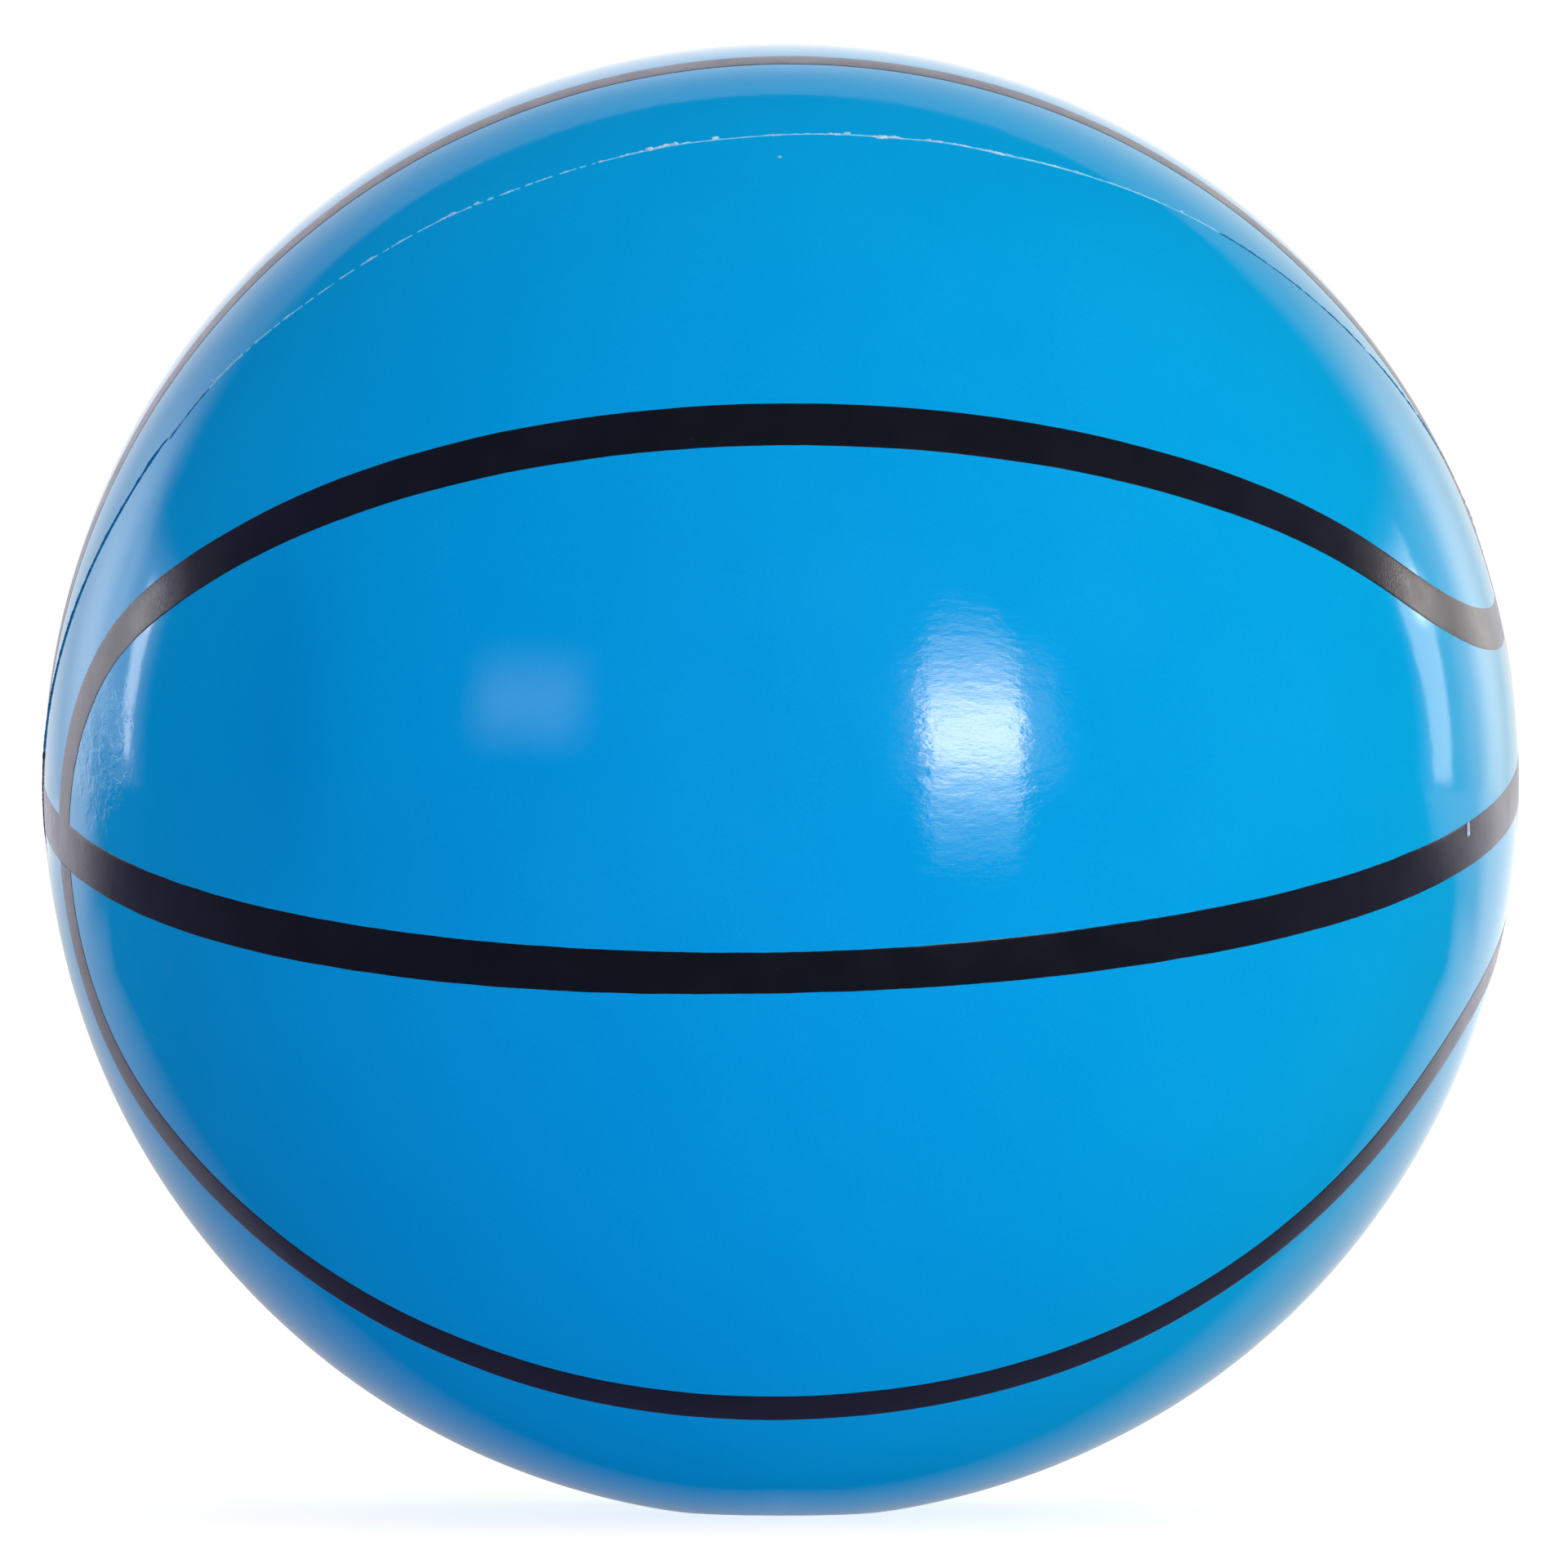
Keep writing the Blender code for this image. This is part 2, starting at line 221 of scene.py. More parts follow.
class Nodes:
    """Short ways to wire a node tree: every method gives the output socket it makes."""

    def __init__(self, tree):
        self.tree = tree
        tree.nodes.clear()

    def add(self, kind, settings=None, **inputs):
        node = self.tree.nodes.new(kind)
        for key, value in (settings or {}).items():
            setattr(node, key, value)
        for key, value in inputs.items():
            self.feed(node.inputs[key.replace("_", " ")], value)
        return node

    def feed(self, socket, value):
        if isinstance(value, bpy.types.NodeSocket):
            self.tree.links.new(value, socket)
        elif isinstance(value, tuple) and len(value) == 3 and socket.type == "RGBA":
            socket.default_value = (*value, 1)
        else:
            socket.default_value = value

    def math(self, operation, *values, clamp=False):
        node = self.add("ShaderNodeMath", {"operation": operation, "use_clamp": clamp})
        for socket, value in zip(node.inputs, values):
            self.feed(socket, value)
        return node.outputs[0]

    def plus(self, *values):
        total = values[0]
        for value in values[1:]:
            total = self.math("ADD", total, value)
        return total

    def times(self, *values):
        total = values[0]
        for value in values[1:]:
            total = self.math("MULTIPLY", total, value)
        return total

    def step(self, value, low, high, to_low=0.0, to_high=1.0):
        node = self.add("ShaderNodeMapRange", {"interpolation_type": "SMOOTHSTEP"})
        for key, item in (("Value", value), ("From Min", low), ("From Max", high),
                          ("To Min", to_low), ("To Max", to_high)):
            self.feed(node.inputs[key], item)
        return node.outputs["Result"]

    def band(self, value, low, high, soft):
        """1 between low and high, falling to 0 over soft on both sides."""
        return self.times(self.step(value, self.plus(low, -soft), self.plus(low, soft)),
                          self.step(value, self.plus(high, soft), self.plus(high, -soft)))

    def noise(self, vector, scale, detail=2.0, roughness=0.5):
        node = self.add("ShaderNodeTexNoise", {"noise_dimensions": "3D"}, Scale=scale,
                        Detail=detail, Roughness=roughness)
        self.feed(node.inputs["Vector"], vector)
        return node.outputs["Fac"]

    def specks(self, vector, scale, size, rare):
        """1 on small scattered specks: one cell in so many holds one, its size in cells."""
        node = self.add("ShaderNodeTexVoronoi", {"voronoi_dimensions": "3D", "feature": "F1"}, Scale=scale)
        self.feed(node.inputs["Vector"], vector)
        red = self.add("ShaderNodeSeparateColor", Color=node.outputs["Color"]).outputs["Red"]
        inside = self.step(node.outputs["Distance"], size * 1.5, size)
        return self.times(inside, self.step(red, rare, rare + 0.01))

    def mix(self, factor, a, b):
        node = self.add("ShaderNodeMix", {"data_type": "RGBA"})
        self.feed(node.inputs[0], factor)
        self.feed(node.inputs[6], a)
        self.feed(node.inputs[7], b)
        return node.outputs[2]

    def near(self, vector, place, reach, soft):
        """1 near a place on the object, falling to 0 beyond reach."""
        away = self.add("ShaderNodeVectorMath", {"operation": "DISTANCE"})
        self.feed(away.inputs[0], vector)
        away.inputs[1].default_value = place
        return self.step(away.outputs["Value"], reach + soft, reach)

    def bump(self, height, strength, distance, normal=None):
        node = self.add("ShaderNodeBump", Strength=strength, Distance=distance, Height=height)
        if normal is not None:
            self.feed(node.inputs["Normal"], normal)
        return node.outputs["Normal"]


def split_xyz(n, vector):
    node = n.add("ShaderNodeSeparateXYZ", Vector=vector)
    return [node.outputs[k] for k in "XYZ"]


def new_material(name):
    material = bpy.data.materials.new(name)
    material.use_nodes = True
    nodes = Nodes(material.node_tree)
    out = nodes.add("ShaderNodeOutputMaterial")
    shader = nodes.add("ShaderNodeBsdfPrincipled")
    nodes.tree.links.new(shader.outputs[0], out.inputs["Surface"])
    place = nodes.add("ShaderNodeTexCoord").outputs["Object"]
    return material, nodes, shader, place


def at_pixel(pixel):
    """The place on the ball that shows at a pixel of the picture."""
    a, b, front = (pixel[0] - BALL_X) / BALL_PIXELS, (BALL_Y - pixel[1]) / BALL_PIXELS, 0.5
    for _ in range(6):
        nearer = (CAMERA_AWAY - front) / OUTLINE_AWAY
        front = math.sqrt(max(0, 1 - (a * a + b * b) * nearer ** 2))
    return tuple(CENTRE + RADIUS * np.array([a * nearer, -front, b * nearer]))


# Materials
def make_vinyl():
    material, n, shader, place = new_material("blue_vinyl")
    mottle = n.noise(place, 38.0, 3.0)
    fine = n.noise(place, 900.0, 3.0)
    grain = n.noise(place, 2600.0, 1.0)
    colour = n.mix(n.step(mottle, 0.3, 0.7), (0.0, 0.366, 0.823), (0.0, 0.378, 0.839))
    # The colour is shifted a little by painted light and shade: paler at the left (painted light), deeper in
    # a cloud beside it and at the far right (painted shade)
    x, y, z = split_xyz(n, place)
    x, z = n.times(x, 1 / RADIUS), n.times(n.plus(z, -CENTRE[2]), 1 / RADIUS)
    rim = n.math("SQRT", n.plus(n.times(x, x), n.times(z, z)))
    # Painted light: paler blue near the left limb
    colour = n.mix(n.times(n.step(x, -0.77, -0.92), 0.9), colour, (0.0, 0.450, 0.95))
    # Painted shade: a darker cloud of blue left of the front
    cloud = n.times(n.band(x, -0.71, -0.60, 0.07), n.band(z, -0.10, 0.28, 0.16), n.step(y, 0.0, -0.03))
    colour = n.mix(n.times(cloud, 0.9), colour, (0.0, 0.318, 0.755))
    # Painted shade: deeper blue along the outline at the far right, as the front view sees it
    colour = n.mix(n.times(n.step(rim, 0.925, 0.97), n.step(x, 0.45, 0.75)), colour, (0.0, 0.335, 0.76))
    # Dry scuffs and handling haze, strongest low on the left
    scratch = n.noise(place, 260.0, 5.0, 0.7)
    worn = n.plus(n.near(place, at_pixel(SCUFFS), 0.010, 0.022),
                  n.near(place, at_pixel(SMALL_SCUFF), 0.002, 0.006),
                  n.near(place, at_pixel(FLECK), 0.001, 0.006))
    haze = n.times(worn, n.step(scratch, 0.55, 0.75))
    colour = n.mix(n.times(haze, 0.04), colour, (0.20, 0.50, 0.80))
    # The pigment's fine grain, a few specks in the vinyl and grains of dust on it
    colour = n.mix(n.times(n.step(grain, 0.35, 0.65), 0.10), colour, (0.0, 0.22, 0.62))
    colour = n.mix(n.times(n.specks(place, 34.0, 0.0110, 0.86), 0.6), colour, (0.45, 0.70, 0.90))
    colour = n.mix(n.times(n.specks(place, 27.0, 0.0120, 0.88), 0.80), colour, (0.01, 0.08, 0.20))
    n.feed(shader.inputs["Base Color"], colour)
    rough = n.plus(n.step(mottle, 0.2, 0.8, 0.045, 0.075), n.times(haze, 0.12), n.times(fine, 0.015))
    n.feed(shader.inputs["Roughness"], rough)
    shader.inputs["IOR"].default_value = 1.5
    peel = n.bump(n.noise(place, 420.0, 2.0), 0.35, 0.00002)
    # Small creases where the ball was handled, low on the left limb
    crease = n.times(n.near(place, at_pixel(CREASES), 0.006, 0.010),
                     n.step(n.noise(place, 330.0, 4.0, 0.6), 0.42, 0.62))
    peel = n.bump(crease, 0.5, 0.00006, peel)
    # Fine flow lines in the skin round the front
    flow = n.add("ShaderNodeVectorMath", {"operation": "MULTIPLY"})
    n.feed(flow.inputs[0], place)
    flow.inputs[1].default_value = (0.35, 1.0, 1.0)
    lines = n.near(place, at_pixel(FLOW_LINES), 0.018, 0.022)
    peel = n.bump(n.times(lines, n.noise(flow.outputs[0], 420.0, 5.0, 0.65)), 1.0, 0.000065, peel)
    n.feed(shader.inputs["Normal"], n.bump(n.noise(place, 90.0, 2.0), 0.5, 0.00004, peel))
    return material


def make_ink():
    material, n, shader, place = new_material("black_ink")
    cloud = n.noise(place, 150.0, 4.0, 0.6)
    speck = n.noise(place, 1400.0, 2.0)
    colour = n.mix(n.step(cloud, 0.3, 0.7), (0.0032, 0.0050, 0.0110), (0.0050, 0.0070, 0.0145))
    dust = n.times(n.step(speck, 0.74, 0.80), n.step(cloud, 0.45, 0.6))
    colour = n.mix(n.times(dust, 0.35), colour, (0.10, 0.11, 0.14))
    n.feed(shader.inputs["Base Color"], colour)
    n.feed(shader.inputs["Roughness"], n.plus(n.step(cloud, 0.25, 0.75, 0.17, 0.25), n.times(speck, 0.03)))
    shader.inputs["IOR"].default_value = 1.5
    shader.inputs["Specular IOR Level"].default_value = 0.70
    shader.inputs["Specular Tint"].default_value = (0.97, 0.92, 1.0, 1)
    shader.inputs["Sheen Weight"].default_value = 0.22
    shader.inputs["Sheen Roughness"].default_value = 0.45
    shader.inputs["Sheen Tint"].default_value = (0.50, 0.45, 1.0, 1)
    peel = n.bump(n.noise(place, 2400.0, 2.0, 0.6), 0.7, 0.00003)
    n.feed(shader.inputs["Normal"], n.bump(n.noise(place, 300.0, 2.0), 0.5, 0.00004, peel))
    return material


def make_flash_vinyl(name, low, high, gloss):
    material, n, shader, place = new_material(name)
    mottle = n.noise(place, 500.0, 3.0)
    n.feed(shader.inputs["Base Color"], n.mix(n.step(mottle, 0.3, 0.7), low, high))
    n.feed(shader.inputs["Roughness"], n.step(mottle, 0.3, 0.7, 0.32, 0.46))
    shader.inputs["IOR"].default_value = 1.5
    shader.inputs["Specular IOR Level"].default_value = gloss
    n.feed(shader.inputs["Normal"], n.bump(n.noise(place, 2200.0, 3.0), 0.5, 0.00004))
    return material


def make_torn():
    material, n, shader, place = new_material("torn_flash")
    mottle = n.noise(place, 1500.0, 3.0)
    patch = n.noise(place, 420.0, 2.0)
    # Painted highlight: the pale and pinkish tones stand for the sheen that the torn slivers catch
    colour = n.mix(n.step(mottle, 0.3, 0.7), (0.34, 0.62, 0.88), (0.62, 0.78, 0.93))
    colour = n.mix(n.times(n.step(patch, 0.54, 0.68), 0.55), colour, (0.50, 0.40, 0.64))
    n.feed(shader.inputs["Base Color"], colour)
    n.feed(shader.inputs["Roughness"], n.step(mottle, 0.3, 0.7, 0.40, 0.60))
    shader.inputs["Specular IOR Level"].default_value = 0.3
    n.feed(shader.inputs["Normal"], n.bump(n.noise(place, 3000.0, 3.0), 0.6, 0.00005))
    return material


def make_plug():
    material, n, shader, place = new_material("plug_vinyl")
    mottle = n.noise(place, 160.0, 3.0)
    fine = n.noise(place, 1500.0, 3.0)
    colour = n.mix(n.step(mottle, 0.3, 0.7), (0.74, 0.76, 0.76), (0.80, 0.81, 0.80))
    n.feed(shader.inputs["Base Color"], colour)
    n.feed(shader.inputs["Roughness"], n.plus(n.step(mottle, 0.2, 0.8, 0.36, 0.50), n.times(fine, 0.05)))
    shader.inputs["IOR"].default_value = 1.5
    n.feed(shader.inputs["Normal"], n.bump(fine, 0.4, 0.00004))
    return material


vinyl = make_vinyl()
ink = make_ink()
# Painted light: the ridge's vinyl is paler than the skin's, for the light on its crest
flash = make_flash_vinyl("flash_vinyl", (0.12, 0.54, 0.84), (0.30, 0.66, 0.90), 0.25)
# Painted shade: a darker copy of the ridge's vinyl, for its shaded side low on both flanks
shaded = make_flash_vinyl("flash_shaded", (0.0, 0.10, 0.30), (0.0, 0.17, 0.42), 0.15)
scrap = make_torn()
plug_vinyl = make_plug()


def arc_points(centre, radius, start, end, steps):
    a = np.linspace(start, end, steps + 1)
    return np.stack([centre[0] + radius * np.cos(a), centre[1] + radius * np.sin(a)], 1)


def make_skin(sides=360):
    """The whole shell, turned about the mould's axis: outside, recess, bore and inside wall."""
    lip = 0.0008
    lip_x = RECESS + lip
    lip_z = math.sqrt((RADIUS - lip) ** 2 - lip_x ** 2)
    first = math.atan2(lip_x, lip_z)
    line = math.acos(PARTING / RADIUS)
    steps = np.array([0.0, 0.25, 0.6, 1.1, 1.8, 2.7, 3.8, 5.2, 6.9]) * 0.001 / RADIUS
    near = np.concatenate([line - steps[::-1], line + steps[1:]])
    above = np.linspace(first, near[0], 74)[:-1]
    below = np.linspace(near[-1], math.pi, 82)[1:-1]
    outside = np.concatenate([above[1:], near, below])

    corner = arc_points((RECESS - 0.0004, FLOOR_HEIGHT + 0.0004), 0.0004, -math.pi / 2, 0, 4)
    rim = arc_points((lip_x, lip_z), lip, math.pi, math.pi / 2 - first, 8)
    recess = np.array([(BORE, FLOOR_HEIGHT - 0.0004), (BORE + 0.0001, FLOOR_HEIGHT - 0.0001),
                       (BORE + 0.0004, FLOOR_HEIGHT)])
    upper = np.concatenate([recess, corner, rim])
    outer = np.stack([RADIUS * np.sin(outside), RADIUS * np.cos(outside)], 1)
    inner_r = RADIUS - WALL
    cup = RECESS + WALL
    start = math.asin(cup / inner_r)
    inside = np.linspace(math.pi, start, 46)[1:]
    inner = np.stack([inner_r * np.sin(inside), inner_r * np.cos(inside)], 1)
    neck = np.array([(cup, FLOOR_HEIGHT - WALL), (NECK, FLOOR_HEIGHT - WALL), (NECK, NECK_END + 0.001),
                     (NECK - 0.0003, NECK_END + 0.0003), (NECK - 0.001, NECK_END), (BORE, NECK_END)])
    profile = np.concatenate([upper, outer, [(0.0, -RADIUS)], [(0.0, -inner_r)], inner, neck])
    is_outer = np.zeros(len(profile), bool)
    is_outer[len(upper):len(upper) + len(outer) + 1] = True

    angle = np.linspace(0, math.tau, sides, endpoint=False)
    ring = np.stack([np.cos(angle), np.sin(angle)], 1)
    points, rings, count = [], [], 0
    for r, z in profile:
        if r < 1e-6:
            points.append(np.array([[0.0, 0.0, z]]))
        else:
            points.append(np.concatenate([ring * r, np.full((sides, 1), z)], 1))
        rings.append((count, len(points[-1])))
        count += len(points[-1])
    outer_flag = np.concatenate([np.full(len(p), f) for p, f in zip(points, is_outer)])
    local = np.concatenate(points)
    # The rings near the parting line follow its stray
    tall = np.arcsin(np.clip(unit(local)[:, 2], -1, 1))
    off = (tall - math.asin(PARTING / RADIUS)) * RADIUS
    spin = np.arctan2(local[:, 1], local[:, 0])
    tall = tall + stray(spin) / RADIUS * np.exp(-(off / 0.012) ** 2)
    moved = RADIUS * np.stack([np.cos(tall) * np.cos(spin), np.cos(tall) * np.sin(spin), np.sin(tall)], 1)
    follow = outer_flag & (np.abs(off) < 0.03)
    local[follow] = moved[follow]
    u = unit(local) @ MOULD.T
    placed = local @ MOULD.T
    lift = np.where(outer_flag, skin_radius(u) - RADIUS, 0.0)
    placed = placed + u * lift[:, None] + CENTRE
    placed[outer_flag] = press(placed[outer_flag])
    placed[~outer_flag] = press(placed[~outer_flag], WALL)

    faces = turned_faces(rings, sides, closed=True)
    piece = add_piece("ball_skin", placed, faces, [vinyl], "ball", sharp=40)
    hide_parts("ball_shell")


# The printed bands
def interpolate(table):
    """A closed function of longitude in degrees, through (degrees, value) pairs, smoothed."""
    x = np.array([t[0] for t in table], float)
    y = np.array([t[1] for t in table], float)
    fine = np.linspace(-180, 180, 721)
    wide = np.interp((fine + 180) % 360 - 180, x, y, period=360)
    kernel = np.exp(-0.5 * (np.arange(-24, 25) / 10.0) ** 2)
    soft = np.convolve(np.concatenate([wide[-25:-1], wide, wide[1:25]]), kernel / kernel.sum(), "valid")
    return lambda degrees: np.interp((degrees + 180) % 360 - 180, fine, soft[:len(fine)])


# Widths in degrees of arc against longitude, 0 at the front and 90 at the right
WIDTH_A = interpolate([
    (-72, 3.68), (-54, 3.70), (-42, 3.64), (-30, 3.52), (-18, 3.40), (-5, 3.17), (2, 3.13), (12, 3.30),
    (24, 3.43), (42, 3.55), (75, 3.50), (110, 3.4), (180, 3.2), (-110, 3.5)
])
WIDTH_UP = interpolate([
    (-60, 3.42), (-50, 3.47), (-42, 3.57), (-20, 3.61), (11, 3.58), (22, 3.53), (31, 3.46), (41, 3.41),
    (60, 3.36), (71, 3.27), (110, 3.2), (180, 3.4), (-110, 3.4)
])
WIDTH_LOW = interpolate([
    (-65, 3.36), (-50, 3.45), (-32, 3.47), (-11, 3.41), (10, 3.36), (25, 3.30), (40, 3.23), (63, 3.21),
    (110, 3.2), (180, 3.3), (-110, 3.35)
])
WIDTH_B = math.radians(3.05)
# How far the print wanders from its true line, in degrees: up for A, to the side of the line for the wave
SHIFT_A = interpolate([
    (-75, 0.20), (-66, 0.09), (-60, 0.01), (-48, -0.08), (-24, -0.09), (-10, -0.03), (24, 0.0),
    (33, -0.09), (42, -0.16), (60, -0.18), (75, -0.20), (110, -0.1), (180, 0.0), (-110, 0.1)
])
SHIFT_UP = interpolate([
    (-58, 0.03), (-50, 0.14), (-42, 0.13), (-32, 0.10), (-22, 0.04), (-11, -0.03), (0, -0.07),
    (11, -0.09), (21, -0.05), (31, -0.03), (41, 0.09), (49, 0.23), (56, 0.27), (71, 0.13), (110, 0.0),
    (180, 0.0), (-110, 0.0)
])
SHIFT_LOW = interpolate([
    (-110, 0.0), (-80, -0.16), (-65, -0.15), (-58, -0.08), (-50, 0.07), (-42, 0.10), (-32, 0.13),
    (-22, 0.18), (-11, 0.09), (0, 0.08), (10, 0.14), (21, 0.31), (31, 0.31), (40, 0.11), (48, -0.08),
    (56, -0.19), (63, -0.37), (80, -0.3), (110, 0.0), (180, 0.0)
])
edge_noise = [[Line(seed, 60), Line(seed + 50, 420)] for seed in (21, 22, 23, 24, 25, 26)]


def ragged(number, angle):
    """The print's slightly uneven edge, in radians of arc."""
    slow, quick = edge_noise[number]
    return (0.000022 * slow(angle) + 0.000012 * quick(angle)) / RADIUS


def longitude(p):
    return np.degrees(np.arctan2(p[..., 0], -p[..., 1]))


def half_a(p, side):
    """The equator band's half width at a point, on the upper (1) or lower (-1) side."""
    lon = longitude(p)
    return np.radians(WIDTH_A(lon) / 2 + side * SHIFT_A(lon)) + ragged(0 if side > 0 else 1, np.radians(lon))


def half_b(p, side):
    """The meridian band's half width, on the back (1) or front (-1) side."""
    t = np.arctan2(p[..., 2], p[..., 0])
    return WIDTH_B / 2 + ragged(2 if side > 0 else 3, t)


def circle_between(axis, start, end, step):
    axis = unit(axis)
    a = start - axis * (start @ axis)
    b = end - axis * (end @ axis)
    angle = math.atan2(axis @ np.cross(a, b), a @ b)
    count = max(2, int(abs(angle) / step))
    t = np.linspace(0, angle, count + 1)[:, None]
    return axis * (start @ axis) + a * np.cos(t) + np.cross(axis, a) * np.sin(t)


def wave_middle():
    """The wave's middle line in its own frame: long arms and round turns, all tangent."""
    arm, shift, tip_l, tip_r = (math.radians(v) for v in (43.75, 1.72, 15.70, 12.29))
    left = math.atan2(math.sin(tip_l - shift), math.cos(tip_l - shift) - math.sin(arm))
    right = math.atan2(math.sin(tip_r + shift), math.cos(tip_r + shift) - math.cos(arm))
    arm_axis = np.array([0, math.sin(arm), math.cos(arm)])
    left_axis = np.array([-math.cos(left), -math.sin(left), 0])
    right_axis = np.array([math.cos(right), 0, math.sin(right)])
    start = np.array([-math.cos(tip_l), -math.sin(tip_l), 0])
    end = np.array([math.cos(tip_r), 0, math.sin(tip_r)])

    def touch(axis):
        flat = unit(axis - arm_axis * (arm_axis @ axis))
        return flat * math.cos(shift) - arm_axis * math.sin(shift)

    step = 0.0015
    quarter = np.concatenate([
        circle_between(left_axis, start, touch(left_axis), step),
        circle_between(arm_axis, touch(left_axis), touch(right_axis), step)[1:],
        circle_between(right_axis, touch(right_axis), end, step)[1:],
    ])
    flip_y, flip_yz, flip_z = (np.array(v) for v in ((1, -1, 1), (1, -1, -1), (1, 1, -1)))
    loop = np.concatenate([quarter[:-1], (quarter * flip_y)[::-1][:-1], (quarter * flip_yz)[:-1],
                           (quarter * flip_z)[::-1][:-1]])
    # Even out the steps, and ease the sudden change of curvature where a turn meets an arm
    loop = resample(np.concatenate([loop, loop[:1]]), 4000)[:-1]
    kernel = np.exp(-0.5 * (np.arange(-40, 41) / 13.0) ** 2)
    kernel /= kernel.sum()
    padded = np.concatenate([loop[-40:], loop, loop[:40]])
    return unit(np.stack([np.convolve(padded[:, k], kernel, "valid") for k in range(3)], 1))


def resample(path, count):
    """count points evenly spaced along an open path."""
    gaps = np.linalg.norm(np.diff(path, axis=0), axis=1)
    s = np.concatenate([[0], np.cumsum(gaps)])
    t = np.linspace(0, s[-1], count)
    return unit(np.stack([np.interp(t, s, path[:, k]) for k in range(3)], 1))


def ribbon(lanes):
    """A closed thin solid from lanes of unit vectors (lane, step, xyz) in the pattern's frame."""
    u = lanes @ PATTERN.T
    top = on_skin(u, np.repeat(RISES[:, None], u.shape[1], 1))
    low = u * (skin_radius(u) - 0.00006)[..., None] + CENTRE
    low[..., 2] = np.maximum(low[..., 2], 0.00003)
    return top, low


def ribbon_faces(count, steps, base, loop=False):
    """Faces of a ribbon: top points first, then bottom points, lane by lane."""
    half = count * steps
    def at(layer, lane, step):
        return base + layer * half + lane * steps + step % steps
    faces = []
    last = steps if loop else steps - 1
    for i in range(count - 1):
        for j in range(last):
            faces.append((at(0, i, j), at(0, i, j + 1), at(0, i + 1, j + 1), at(0, i + 1, j)))
            faces.append((at(1, i, j), at(1, i + 1, j), at(1, i + 1, j + 1), at(1, i, j + 1)))
    for j in range(last):
        faces.append((at(0, 0, j), at(1, 0, j), at(1, 0, j + 1), at(0, 0, j + 1)))
        e = count - 1
        faces.append((at(0, e, j), at(0, e, j + 1), at(1, e, j + 1), at(1, e, j)))
    if not loop:
        for i in range(count - 1):
            faces.append((at(0, i, 0), at(0, i + 1, 0), at(1, i + 1, 0), at(1, i, 0)))
            e = steps - 1
            faces.append((at(0, i, e), at(1, i, e), at(1, i + 1, e), at(0, i + 1, e)))
    return faces


# Places across a band, and the print's height there: the edge of the ink is drawn thin
LANES = np.array([-1.0, -0.985, -0.96, -0.92, -0.8, -0.4, 0.0, 0.4, 0.8, 0.92, 0.96, 0.985, 1.0])
RISES = INK_RISE * np.array([0.25, 0.5, 0.78, 0.95, 1.0, 1.0, 1.0, 1.0, 1.0, 0.95, 0.78, 0.5, 0.25])


